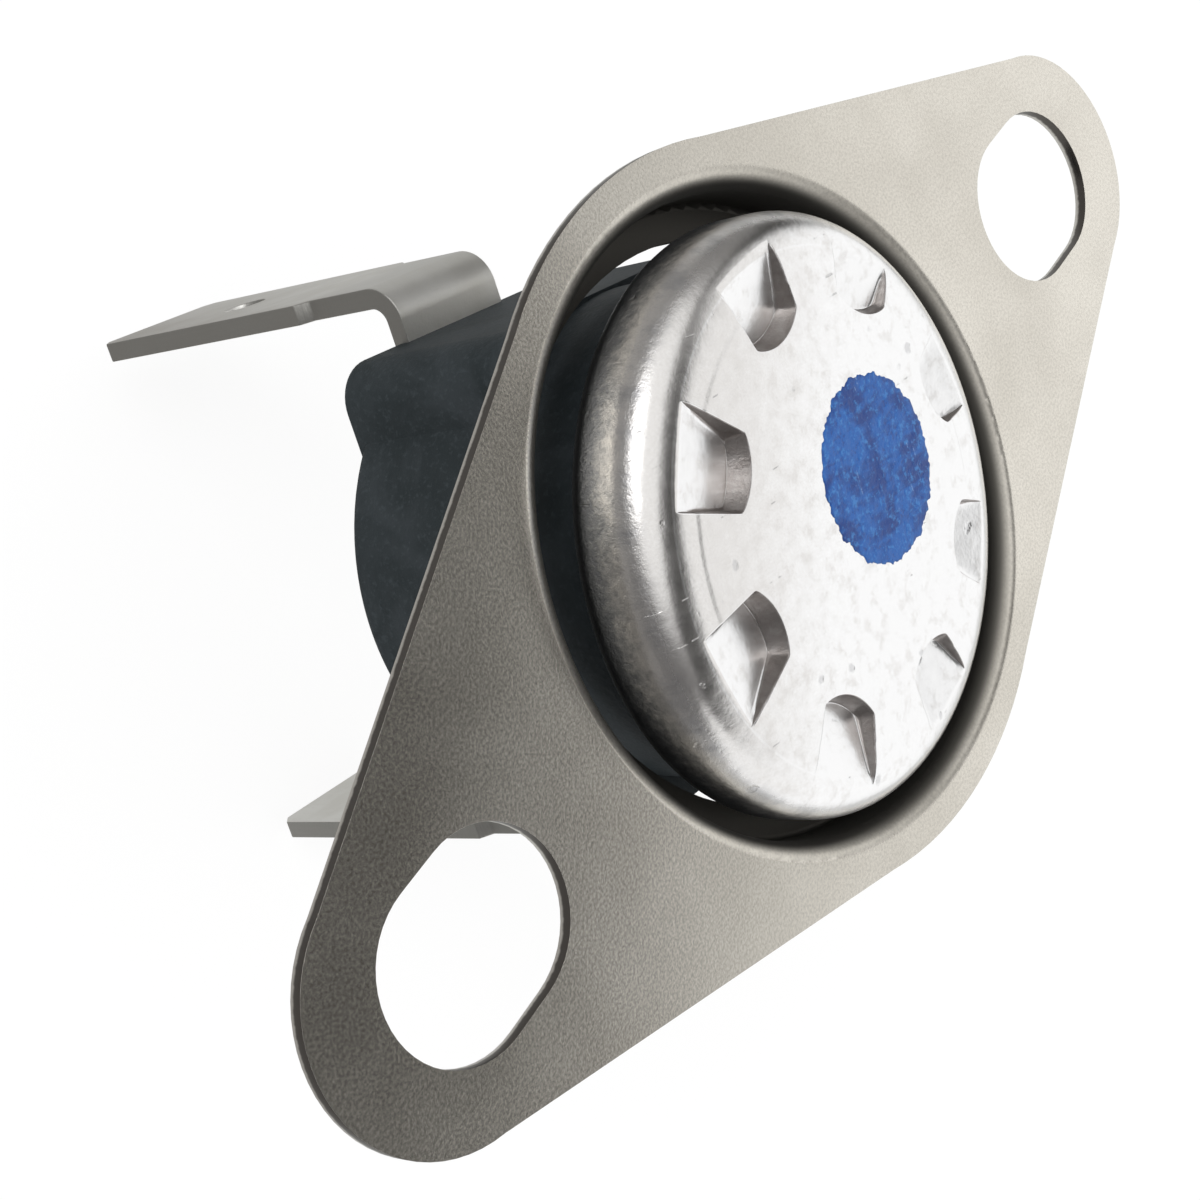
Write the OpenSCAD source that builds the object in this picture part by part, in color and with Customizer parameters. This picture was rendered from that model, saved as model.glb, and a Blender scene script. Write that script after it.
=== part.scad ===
// Snap-disc oven thermostat, held by a loose two-slot mounting bracket.
// The bracket's front face lies in the XY plane, with the centre of its opening at the origin.
// +X runs through the two slots and +Z points out of the sensing side.
// The thermostat itself is drawn about its own axis and then leans in the loose bracket.

/* [Mounting bracket] */
// Distance between the centres of the two slots
slot_spacing = 40; // [39:0.5:44]
// Width of each slot
slot_w = 6; // [5:0.1:6.6]
// End-to-end length of each slot
slot_len = 7.6; // [7:0.1:8]
// Metal left round the slot at the rounded end of an ear
ear_wall = 1.8; // [1.4:0.1:2.4]
// How far the centre of an ear's rounded end lies beyond its slot's centre
ear_setout = 1.75; // [0.5:0.25:3]
// Thickness of the bracket sheet
sheet_t = 0.5; // [0.4:0.05:0.6]
// Flat rim left outside the collar at the bracket's widest point
rim_w = 1.3; // [0.8:0.1:3]
// Radius of the rounded mouth of the collar, on the front
mouth_r = 0.75; // [0.65:0.05:1]
// Gap between the side of the cap and the collar
collar_gap = 0.95; // [0.8:0.05:1.3]
// Gap between the collar's bottom lip and the barrel of the housing
lip_gap = 1.15; // [0.9:0.05:1.3]
// Gap between the lip and the crimped rim of the cap, where they are closest
hook_gap = 0.18; // [0.1:0.02:0.4]

/* [Pose in the bracket] */
// Lean of the thermostat in its loose bracket, in degrees
lean = 7.5; // [0:0.5:8]
// Direction of the line that it leans about, in degrees from +X
lean_about = 30; // [0:5:355]
// Turn of the terminals about the thermostat's own axis, in degrees
turn = -18; // [-180:1:180]
// Sideways play taken up along X
shift_x = -0.2; // [-0.3:0.05:0.3]
// Sideways play taken up along Y
shift_y = -0.1; // [-0.3:0.05:0.3]

/* [Cap] */
// Outer radius of the cap
cap_r = 10.45; // [10.2:0.05:11.5]
// Height of the cap's face above the bracket, along its own axis
face_z = 2; // [1.5:0.1:3]
// Height of the cap from its face to its crimped rim
cap_h = 3.5; // [3.3:0.1:4.5]
// Thickness of the aluminium sheet
cap_t = 0.5; // [0.4:0.05:0.6]
// Outer radius of the edge between the face and the side
cap_edge_r = 1.4; // [1.1:0.1:1.6]
// Outer radius of the crimped rim
curl_r = 0.9; // [0.75:0.05:1]
// Number of pressed pockets round the face
pocket_n = 8; // [6:1:9]
// Direction of the first pocket, in degrees from the terminals' width
pocket_turn = 14; // [0:0.5:45]
// Half the angle between a pocket's two sides, in degrees
pocket_half = 11.75; // [8:0.25:13]
// Length of each pocket, from its inner end to where its sloping floor comes level with the face
pocket_len = 3.4; // [3.1:0.05:3.6]
// Distance from the cap's side to where that floor comes level
pocket_rim = 0.55; // [0.4:0.05:0.8]
// Radius that the inner end bulges with
pocket_bulge_r = 3; // [2.8:0.1:6]
// How far the pockets' centre lies off the axis, along the terminals' width
pocket_off = 0.8; // [0:0.1:0.8]
// Depth of a pocket at its inner end
pocket_d = 0.8; // [0.5:0.05:0.85]

/* [Paint mark] */
// Radius of the dot
dot_r = 3.4; // [2:0.1:3.6]
// Distance of the dot's centre from the axis, along the terminals' width
dot_x = 2.5; // [-3:0.1:2.6]
// Distance of the dot's centre from the axis, across that
dot_y = 0.65; // [-2:0.05:2]
// Thickness of the paint
dot_t = 0.06; // [0.04:0.01:0.12]

/* [Housing] */
// How far the flange inside the crimped rim stands out past the barrel
flange_w = 0.92; // [0.82:0.01:1.02]
// Distance of the rear face from the bracket's front plane
rear_depth = 13.3; // [12.5:0.1:16]
// Thickness of the barrel's wall
wall = 1.2; // [1:0.1:1.3]
// Thickness of the floor that the rivets pass through
floor_t = 3.1; // [2.5:0.1:3.4]
// Half the width of the terminal block across the terminals
block_x = 6.35; // [6:0.05:7]
// How far the block's flat under each terminal stands out past the barrel
block_out = 0.1; // [0.05:0.05:0.5]
// Radius of the block's corners
block_r = 1.6; // [1:0.1:2]
// Distance of the block's front from the bracket's front plane
block_depth = 5.5; // [5:0.1:7]
// Depth of the channel that each terminal's foot lies in
channel_d = 0.4; // [0.2:0.05:0.7]
// Radius on the outer edge of the rear face
rear_edge_r = 0.6; // [0.2:0.1:1]

/* [Terminals] */
// Width of a terminal's blade
tab_w = 6.3; // [4.8:0.1:6.4]
// Thickness of the terminal sheet
tab_t = 0.8; // [0.7:0.05:0.9]
// Gap between the block's flat and the inner face of a blade, at its bend
tab_gap = 1.45; // [1.4:0.05:2.4]
// Length of a blade beyond the outer face of its foot
tab_len = 17.4; // [11:0.1:18]
// Inner radius of the bend between foot and blade
tab_bend = 0.6; // [0.4:0.1:0.8]
// Length of a foot from its rivet to its inner end
foot_in = 3.3; // [2.9:0.1:3.9]
// Width of the strap between a blade's shoulders and the end of its foot
strap_w = 5.4; // [4.4:0.1:5.6]
// Length of a blade from its tip to its shoulders
shoulder_len = 13.2; // [7:0.1:14]
// Outward lean of each blade, in degrees
splay = 1.3; // [0:0.1:2]
// Bevel on the corners of a blade's tip
tip_bevel = 1; // [0.4:0.1:1.4]
// Radius of the hole in a blade
tab_hole_r = 0.9; // [0.6:0.05:1]
// Distance of that hole from the tip
tab_hole_in = 6.6; // [3:0.2:7]

/* [Rivets] */
// Distance of each rivet from the wall of the switch cavity
rivet_in = 1.9; // [1.85:0.05:2.1]
// Radius of a rivet's shank
rivet_r = 1.1; // [0.8:0.05:1.2]
// Radius of a rivet's head outside
rivet_head_r = 2; // [1.7:0.1:2.4]
// Radius of a rivet's head inside
rivet_tail_r = 1.7; // [1.5:0.05:1.75]
// Thickness of each rivet head
rivet_head_t = 0.65; // [0.4:0.05:0.8]
// Radius of the bore down the rivet
rivet_bore_r = 0.55; // [0.3:0.05:0.6]

/* [Switch] */
// Gap between the rim of the bimetal disc and the cap's side
disc_gap = 0.45; // [0.35:0.05:0.7]
// Thickness of the bimetal disc
disc_t = 0.22; // [0.15:0.01:0.25]
// Height of the disc's dome when cold
dome_h = 0.4; // [0.2:0.05:0.45]
// Radius of the transfer pin
pin_r = 0.9; // [0.7:0.05:1]
// Gap between the cold disc and the pin
pin_gap = 0.1; // [0.05:0.01:0.2]
// Width of the ledge that the disc's rim rests on
ledge_w = 1.15; // [1:0.05:1.3]
// Thickness of the plate that guides the pin
guide_t = 1.2; // [1:0.05:1.4]
// Length of the guide's boss below its plate
boss_h = 1.5; // [1:0.1:1.6]
// Distance of the contact arm's front from the bracket's front plane
arm_depth = 5.9; // [5.8:0.05:6.4]
// Thickness of the contact arm
arm_t = 0.25; // [0.2:0.01:0.4]
// Width of the contact arm
arm_w = 4; // [3:0.1:4.4]
// Distance from the arm's rivet to the line that the arm bends at
root_in = 2.5; // [2.4:0.05:2.7]
// Distance from the fixed rivet to the contacts
contact_in = 2.8; // [2.7:0.05:3]
// Length of the arm beyond the contacts
arm_tip = 1.3; // [1.2:0.05:1.4]
// Radius of the contacts
contact_r = 1.15; // [0.9:0.05:1.2]
// Thickness of each contact
contact_t = 0.65; // [0.4:0.05:0.7]
// Thickness of the brass plates that carry the arm and the fixed contact
plate_t = 0.5; // [0.4:0.05:0.6]
// Width of those plates
plate_w = 4.8; // [4.2:0.1:5]

/* [Clearances] */
// Gap round pieces that are pressed or riveted in place
seat_gap = 0.03; // [0.02:0.01:0.05]
// Gap round the sliding pin
slide_gap = 0.05; // [0.03:0.01:0.1]
// Gap between faces that only rest on each other
touch_gap = 0.01; // [0.005:0.005:0.02]

/* [Hidden] */
$fn = 96;
far = 60;

// Cap levels along the thermostat's own axis
rim_z = face_z - cap_h;
cap_in_r = cap_r - cap_t;
cap_in_z = face_z - cap_t;
curl_c = [cap_r - curl_r, rim_z + curl_r];
crimp_top = rim_z + cap_t;
pocket_out = cap_r - pocket_rim;
pocket_in = pocket_out - pocket_len;

// Radii of the housing, from the cap inwards
shoulder_r = cap_in_r - seat_gap;
barrel_r = shoulder_r - flange_w;
cavity_r = barrel_r - wall;
block_y = barrel_r + block_out;

// Collar and lip of the bracket
collar_in = cap_r + collar_gap;
collar_out = collar_in + sheet_t;
mouth_c = collar_in + mouth_r;
lip_r = barrel_r + lip_gap;
low_way = [sin(lean_about), -cos(lean_about)];
low_shift = shift_x * low_way[0] + shift_y * low_way[1];
curl_low_r = curl_c[0] * cos(lean) + curl_c[1] * sin(lean) + low_shift;
curl_low_z = curl_c[1] * cos(lean) - curl_c[0] * sin(lean);
lip_top = curl_low_z - sqrt(max(0.01, pow(curl_r + hook_gap, 2) - pow(lip_r - curl_low_r, 2)));
lip_bottom = lip_top - sheet_t;
lip_bend = 0.2;

// Outline of the bracket
waist_r = collar_out + rim_w;
ear_r = slot_w / 2 + ear_wall;
ear_x = slot_spacing / 2 + ear_setout;
tangent = acos((waist_r - ear_r) / ear_x);
// Straight sides lie this far inside the true tangent, so that they cross the arcs cleanly
tuck = 0.02;

// Disc, guide and switch pieces, from the cap and the cavity inwards
disc_r = cap_in_r - disc_gap;
guide_r = disc_r - ledge_w;
rivet_y = cavity_r - rivet_in;
rivet_hole_r = rivet_r + seat_gap;
arm_root = rivet_y - root_in;
contact_y = rivet_y - contact_in;
arm_end = contact_y + arm_tip;
arm_pad_y = arm_root + 0.2;
fixed_pad_y = arm_end + 0.5;

// Housing levels
shoulder_z = crimp_top + seat_gap;
seat_z = crimp_top + 1.1;
guide_floor = seat_z - guide_t - 0.1;
deck_z = floor_t - rear_depth;
arm_z = -arm_depth;
fixed_z = arm_z + 2 * contact_t + touch_gap;

// Terminal levels
foot_z = channel_d - rear_depth;
foot_back = foot_z - tab_t;
tip_z = foot_back - tab_len;
neck_z = tip_z + shoulder_len;
foot_y = rivet_y - foot_in;
tab_in = block_y + tab_gap;
tab_y = tab_in + tab_t / 2;
bend_y = tab_in - tab_bend;
bend_z = foot_back - tab_bend;

// Disc and pin levels
disc_z = seat_z + touch_gap;
dome_r = (disc_r * disc_r + dome_h * dome_h) / (2 * dome_h);
pin_top = disc_z + dome_h - pin_gap;
pin_foot = arm_z + touch_gap;

// Puts a piece drawn about the thermostat's own axis where it lies in the loose bracket
module in_bracket() {
    translate([shift_x, shift_y, 0])
        rotate(a = lean, v = [cos(lean_about), sin(lean_about), 0])
            rotate([0, 0, turn])
                children();
}

// Round space along the axis between two levels
module bore(low, high, r) {
    translate([0, 0, low])
        cylinder(h = high - low, r = r);
}

// Box given by its two corners
module block(low, high) {
    translate(low)
        cube(high - low);
}

module bracket_outline() {
    near_x = (waist_r - tuck) * cos(tangent);
    far_x = ear_x + (ear_r - tuck) * cos(tangent);
    circle(waist_r);
    for (side = [-1, 1])
        translate([side * ear_x, 0])
            circle(ear_r);
    polygon([for (side = [[1, 1], [-1, 1], [-1, -1], [1, -1]])
        for (end = side[0] * side[1] > 0 ? [0, 1] : [1, 0])
            [side[0] * (end * near_x + (1 - end) * far_x),
             side[1] * (end * waist_r + (1 - end) * ear_r - tuck) * sin(tangent)]]);
}

module slot_outline() {
    reach = (slot_len - slot_w) / 2;
    for (side = [-1, 1])
        translate([side * reach, 0])
            circle(slot_w / 2);
    square([2 * reach, slot_w], center = true);
}

// Sheet profile from the flat rim over the rounded mouth, down the collar and in along the lip
module collar_profile() {
    difference() {
        union() {
            translate([mouth_c, -sheet_t])
                square([rim_w / 2, sheet_t]);
            translate([collar_in, lip_top + lip_bend])
                square([sheet_t, -mouth_r - lip_top - lip_bend]);
            intersection() {
                translate([mouth_c, -mouth_r])
                    circle(mouth_r);
                translate([collar_in, -mouth_r])
                    square(mouth_r);
            }
            intersection() {
                translate([collar_in - lip_bend, lip_top + lip_bend])
                    circle(lip_bend + sheet_t);
                translate([collar_in - lip_bend, lip_bottom])
                    square(lip_bend + sheet_t);
            }
            translate([lip_r, lip_bottom])
                square([collar_in - lip_bend - lip_r, sheet_t]);
        }
        translate([mouth_c, -mouth_r])
            circle(mouth_r - sheet_t);
        translate([collar_in - lip_bend, lip_top + lip_bend])
            circle(lip_bend);
    }
}

module mounting_bracket() {
    color([0.66, 0.63, 0.57])
        union() {
            translate([0, 0, -sheet_t])
                linear_extrude(sheet_t)
                    difference() {
                        bracket_outline();
                        circle(mouth_c + rim_w / 4);
                        for (side = [-1, 1])
                            translate([side * slot_spacing / 2, 0])
                                slot_outline();
                    }
            rotate_extrude()
                collar_profile();
        }
}

// Outline of one pocket seen from the front, grown all round by a margin
module pocket_plan(reach, grow) {
    long = reach + grow / sin(pocket_half);
    intersection() {
        translate([-grow / sin(pocket_half), 0])
            polygon([[0, 0], [long, -long * tan(pocket_half)], [long, long * tan(pocket_half)]]);
        translate([pocket_in + pocket_bulge_r, 0])
            circle(pocket_bulge_r + grow);
    }
}

// Space over a pocket's sloping floor, or the metal under it when it is lowered
module pocket(reach, grow, drop, top_z) {
    low_z = face_z - pocket_d - drop;
    slope = atan(pocket_d / (pocket_out - pocket_in));
    intersection() {
        translate([0, 0, low_z])
            linear_extrude(top_z - low_z)
                pocket_plan(reach, grow);
        translate([pocket_in, 0, low_z])
            rotate([0, -slope, 0])
                translate([-far / 2, -far / 2, 0])
                    cube(far);
    }
}

// Places one pocket at each step round the pockets' centre
module each_pocket() {
    for (i = [0 : pocket_n - 1])
        translate([pocket_off, 0, 0])
            rotate([0, 0, pocket_turn + i * 360 / pocket_n])
                children();
}

module cap_profile() {
    difference() {
        union() {
            translate([0, cap_in_z - 0.2])
                square([cap_r - cap_edge_r, cap_t + 0.2]);
            translate([cap_r - cap_edge_r, face_z - cap_edge_r])
                intersection() {
                    circle(cap_edge_r);
                    square(cap_edge_r);
                }
            translate([cap_in_r, curl_c[1]])
                square([cap_t, face_z - cap_edge_r - curl_c[1]]);
            translate(curl_c)
                intersection() {
                    circle(curl_r);
                    translate([0, -curl_r])
                        square(curl_r);
                }
            translate([barrel_r + 0.15, rim_z])
                square([curl_c[0] - barrel_r - 0.15, cap_t]);
        }
        translate([cap_r - cap_edge_r, face_z - cap_edge_r])
            circle(cap_edge_r - cap_t);
        translate([-1, face_z - cap_edge_r])
            square([cap_r - cap_edge_r + 1, cap_edge_r - cap_t]);
        translate(curl_c)
            circle(curl_r - cap_t);
    }
}

module cap() {
    color([0.86, 0.86, 0.87])
        in_bracket()
            difference() {
                union() {
                    rotate_extrude()
                        cap_profile();
                    intersection() {
                        each_pocket()
                            pocket(cap_r, cap_t * 0.7, cap_t * 0.8, cap_in_z + cap_t / 2);
                        bore(0, face_z, cap_r - cap_edge_r / 2);
                    }
                }
                each_pocket()
                    pocket(cap_r + 2, 0, 0, face_z + 1);
            }
}

module paint_mark() {
    color([0.12, 0.32, 0.75])
        in_bracket()
            translate([dot_x, dot_y, face_z])
                cylinder(h = dot_t, r = dot_r);
}

// Cold disc, domed towards the cap
module bimetal_disc() {
    steps = 12;
    dome = [for (i = [0 : steps]) let (r = disc_r * i / steps)
        [r, disc_z + sqrt(dome_r * dome_r - r * r) - dome_r + dome_h]];
    color([0.72, 0.7, 0.66])
        in_bracket()
            rotate_extrude()
                polygon(concat(dome, [for (i = [steps : -1 : 0]) dome[i] + [0, disc_t]]));
}

module pin_guide() {
    color([0.55, 0.33, 0.2])
        in_bracket()
            difference() {
                union() {
                    translate([0, 0, guide_floor])
                        cylinder(h = guide_t, r = guide_r);
                    translate([0, 0, guide_floor - boss_h])
                        cylinder(h = boss_h + guide_t / 2, r = 2 * pin_r + 0.2);
                }
                bore(guide_floor - boss_h - 1, seat_z + 1, pin_r + slide_gap);
            }
}

// Ceramic pin with a ball end that pushes the arm
module transfer_pin() {
    color([0.93, 0.92, 0.88])
        in_bracket()
            union() {
                translate([0, 0, pin_foot + pin_r])
                    cylinder(h = pin_top - pin_foot - pin_r, r = pin_r);
                translate([0, 0, pin_foot + pin_r])
                    sphere(pin_r);
            }
}

module block_plan() {
    for (x = [-1, 1])
        for (y = [-1, 1])
            translate([x * (block_x - block_r), y * (block_y - block_r)])
                circle(block_r);
    square([2 * block_x, 2 * (block_y - block_r)], center = true);
    square([2 * (block_x - block_r), 2 * block_y], center = true);
}

module housing() {
    shoulder_edge = curl_r - cap_t - seat_gap;
    color([0.16, 0.18, 0.2])
        in_bracket()
            difference() {
                union() {
                    // Barrel, shoulder and rounded rear edge
                    rotate_extrude() {
                        translate([0, -rear_depth])
                            square([barrel_r - rear_edge_r, seat_z + rear_depth]);
                        translate([0, rear_edge_r - rear_depth])
                            square([barrel_r, seat_z + rear_depth - rear_edge_r]);
                        translate([barrel_r - rear_edge_r, rear_edge_r - rear_depth])
                            circle(rear_edge_r);
                        translate([0, shoulder_z + shoulder_edge])
                            square([shoulder_r, seat_z - shoulder_z - shoulder_edge]);
                        translate([0, shoulder_z])
                            square([shoulder_r - shoulder_edge, seat_z - shoulder_z]);
                        translate([shoulder_r - shoulder_edge, shoulder_z + shoulder_edge])
                            circle(shoulder_edge);
                    }
                    // Terminal block
                    translate([0, 0, -rear_depth])
                        linear_extrude(rear_depth - block_depth)
                            block_plan();
                }
                // Seat of the pin guide and the switch cavity with its two pads
                bore(guide_floor - seat_gap, seat_z + 1, guide_r + seat_gap);
                difference() {
                    bore(deck_z, seat_z, cavity_r);
                    block([-far, arm_pad_y, -far], [far, far, arm_z]);
                    block([-far, -far, -far], [far, -fixed_pad_y, fixed_z]);
                }
                for (side = [-1, 1]) {
                    translate([0, side * rivet_y, -far])
                        cylinder(h = far, r = rivet_hole_r);
                    // Channel under each terminal's foot
                    mirror([0, side < 0 ? 1 : 0, 0])
                        block([-strap_w / 2 - seat_gap, foot_y - 0.3, -far],
                              [strap_w / 2 + seat_gap, far, foot_z]);
                }
            }
}

// Blade terminal on the +Y side: a foot on the rear face, a bend and a long blade
module terminal() {
    neck = (tab_w - strap_w) / 2;
    difference() {
        rotate([90, 0, 90])
            translate([0, 0, -tab_w / 2])
                linear_extrude(tab_w) {
                    translate([foot_y, foot_back])
                        square([bend_y - foot_y, tab_t]);
                    difference() {
                        translate([bend_y, bend_z])
                            circle(tab_bend + tab_t);
                        translate([bend_y, bend_z])
                            circle(tab_bend);
                        translate([bend_y - far, bend_z - far])
                            square([far, 2 * far]);
                        translate([bend_y, bend_z])
                            rotate(splay)
                                translate([-far, -far])
                                    square([2 * far, far]);
                    }
                    translate([bend_y, bend_z])
                        rotate(splay)
                            translate([tab_bend, tip_z - bend_z])
                                square([tab_t, bend_z - tip_z]);
                }
        for (side = [0, 1])
            mirror([side, 0, 0]) {
                // Shoulder where the blade narrows to the strap
                translate([0, far, 0])
                    rotate([90, 0, 0])
                        linear_extrude(2 * far)
                            polygon([[tab_w / 2 - neck, far], [tab_w / 2 - neck, neck_z + neck],
                                     [tab_w / 2, neck_z], [tab_w, neck_z], [tab_w, far]]);
                // Bevelled corner of the tip and of the foot
                translate([tab_w / 2, tab_y, tip_z])
                    rotate([0, 45, 0])
                        cube([tip_bevel * sqrt(2), 5 * tab_t, tip_bevel * sqrt(2)], center = true);
                translate([strap_w / 2, foot_y, foot_back])
                    rotate([0, 0, 45])
                        cube([tip_bevel * sqrt(2), tip_bevel * sqrt(2), 3 * tab_t], center = true);
            }
        translate([0, rivet_y, foot_back - 1])
            cylinder(h = tab_t + 2, r = rivet_hole_r);
        // Everything that follows the blade's own lean
        translate([0, bend_y, bend_z])
            rotate([splay, 0, 0])
                translate([0, tab_bend + tab_t / 2, tip_z - bend_z]) {
                    for (face = [-1, 1])
                        translate([0, face * tab_t / 2, 0])
                            rotate([face * 70, 0, 0])
                                cube([far, tab_t * 2, tab_t / 2], center = true);
                    translate([0, -tab_t, tab_hole_in])
                        rotate([-90, 0, 0])
                            cylinder(h = 2 * tab_t, r = tab_hole_r);
                }
    }
}

module arm_terminal() {
    color([0.74, 0.72, 0.66])
        in_bracket()
            terminal();
}

module fixed_terminal() {
    color([0.74, 0.72, 0.66])
        in_bracket()
            rotate([0, 0, 180])
                terminal();
}

// Tubular rivet on the +Y side that clamps a plate inside to a terminal outside
module rivet(plate_top) {
    head_z = foot_back - touch_gap;
    tail_z = plate_top + touch_gap;
    dome = rivet_head_t * 0.7;
    translate([0, rivet_y, 0])
        rotate_extrude()
            difference() {
                union() {
                    translate([0, head_z - rivet_head_t])
                        square([rivet_r, tail_z + 2 * rivet_head_t - head_z]);
                    translate([0, head_z - rivet_head_t])
                        square([rivet_head_r - dome, rivet_head_t]);
                    translate([0, head_z - rivet_head_t + dome])
                        square([rivet_head_r, rivet_head_t - dome]);
                    intersection() {
                        translate([rivet_head_r - dome, head_z - rivet_head_t + dome])
                            circle(dome);
                        translate([rivet_head_r - dome, head_z - rivet_head_t])
                            square(dome);
                    }
                    translate([0, tail_z])
                        square([rivet_tail_r, rivet_head_t]);
                }
                translate([-1, head_z - rivet_head_t - 1])
                    square([1 + rivet_bore_r, tail_z - head_z]);
            }
}

module arm_rivet() {
    color([0.8, 0.7, 0.42])
        in_bracket()
            rivet(arm_z + plate_t);
}

module fixed_rivet() {
    color([0.8, 0.7, 0.42])
        in_bracket()
            rotate([0, 0, 180])
                rivet(fixed_z + plate_t);
}

// Brass plate on the +Y side from inner_y out to the rivet
module carrier(level, inner_y) {
    outer_y = sqrt(pow(cavity_r - 0.15, 2) - pow(plate_w / 2, 2));
    difference() {
        block([-plate_w / 2, inner_y, level], [plate_w / 2, outer_y, level + plate_t]);
        translate([0, rivet_y, level - 1])
            cylinder(h = plate_t + 2, r = rivet_hole_r);
    }
}

module arm_plate() {
    color([0.83, 0.68, 0.35])
        in_bracket()
            carrier(arm_z, arm_root - 0.8);
}

module fixed_plate() {
    color([0.83, 0.68, 0.35])
        in_bracket()
            rotate([0, 0, 180])
                difference() {
                    carrier(fixed_z, contact_y - contact_r);
                    translate([0, contact_y, fixed_z - 1])
                        cylinder(h = plate_t + 2, r = contact_r / 2 + seat_gap);
                }
}

// Spring leaf that bends at its root under the arm plate
module contact_arm() {
    color([0.8, 0.6, 0.4])
        in_bracket()
            difference() {
                union() {
                    block([-arm_w / 2, -contact_y, arm_z - arm_t], [arm_w / 2, arm_root, arm_z]);
                    intersection() {
                        translate([0, -contact_y, arm_z - arm_t])
                            cylinder(h = arm_t, r = arm_w / 2);
                        block([-far, -arm_end, -far], [far, far, far]);
                    }
                }
                translate([0, -contact_y, arm_z - arm_t - 1])
                    cylinder(h = arm_t + 2, r = contact_r / 2 + seat_gap);
            }
}

// Contact with a round face, a stem through its carrier and a headed tail behind it
module contact(carrier_t) {
    cylinder(h = contact_t, r = contact_r);
    translate([0, 0, -carrier_t - touch_gap - 0.2])
        cylinder(h = carrier_t + contact_t, r = contact_r / 2);
    translate([0, 0, -carrier_t - touch_gap - 0.2])
        cylinder(h = 0.2, r = contact_r * 0.75);
}

module moving_contact() {
    color([0.88, 0.88, 0.86])
        in_bracket()
            translate([0, -contact_y, arm_z])
                contact(arm_t);
}

module fixed_contact() {
    color([0.88, 0.88, 0.86])
        in_bracket()
            translate([0, -contact_y, fixed_z])
                mirror([0, 0, 1])
                    contact(plate_t);
}

mounting_bracket();
cap();
paint_mark();
bimetal_disc();
pin_guide();
transfer_pin();
housing();
arm_plate();
contact_arm();
moving_contact();
fixed_contact();
fixed_plate();
arm_terminal();
fixed_terminal();
arm_rivet();
fixed_rivet();
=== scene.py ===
# Snap-disc thermostat in its loose two-slot bracket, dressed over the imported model.
# Sizes are written in millimetres beside the piece that uses them, and turned to metres when they are used.
import bpy
import bmesh
import math
from mathutils import Matrix, Vector, noise


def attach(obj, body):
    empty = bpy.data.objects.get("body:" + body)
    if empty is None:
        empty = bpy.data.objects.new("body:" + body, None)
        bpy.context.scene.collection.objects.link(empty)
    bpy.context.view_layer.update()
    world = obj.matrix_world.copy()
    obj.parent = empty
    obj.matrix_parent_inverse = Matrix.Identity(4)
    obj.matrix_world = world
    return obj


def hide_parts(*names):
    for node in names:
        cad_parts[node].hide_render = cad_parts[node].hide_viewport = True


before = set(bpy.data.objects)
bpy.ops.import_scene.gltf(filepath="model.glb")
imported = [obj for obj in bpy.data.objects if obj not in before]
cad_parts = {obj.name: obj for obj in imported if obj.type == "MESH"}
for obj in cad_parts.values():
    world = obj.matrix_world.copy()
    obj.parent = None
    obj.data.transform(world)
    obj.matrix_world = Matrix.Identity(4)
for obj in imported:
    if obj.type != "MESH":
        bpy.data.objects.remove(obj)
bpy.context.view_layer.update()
mm = 0.001
print("frame loaded:", len(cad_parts), "nodes")

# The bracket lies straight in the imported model, and the thermostat leans and turns in it
pose = {"lean": 7.5, "leanAbout": 30, "turn": -18, "shift": (-0.2, -0.1, 0)}
leanLine = Vector((math.cos(math.radians(pose["leanAbout"])), math.sin(math.radians(pose["leanAbout"])), 0))
bracketFrame = Matrix.Identity(4)
ownFrame = (Matrix.Translation(Vector(pose["shift"]) * mm)
            @ Matrix.Rotation(math.radians(pose["lean"]), 4, leanLine)
            @ Matrix.Rotation(math.radians(pose["turn"]), 4, "Z"))


# Shader maths

class Wire:  # one output socket, with the arithmetic that the finishes use
    def __init__(self, look, socket):
        self.look = look
        self.socket = socket

    def maths(self, operation, *values):
        return self.look.node("ShaderNodeMath", {"operation": operation}, dict(enumerate(values)))

    def __add__(self, other):
        return self.maths("ADD", self, other)

    def __radd__(self, other):
        return self.maths("ADD", other, self)

    def __sub__(self, other):
        return self.maths("SUBTRACT", self, other)

    def __rsub__(self, other):
        return self.maths("SUBTRACT", other, self)

    def __mul__(self, other):
        return self.maths("MULTIPLY", self, other)

    def __rmul__(self, other):
        return self.maths("MULTIPLY", other, self)

    def __pow__(self, other):
        return self.maths("POWER", self, other)

    def __abs__(self):
        return self.maths("ABSOLUTE", self)

    def most(self, other):
        return self.maths("MAXIMUM", self, other)


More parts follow.
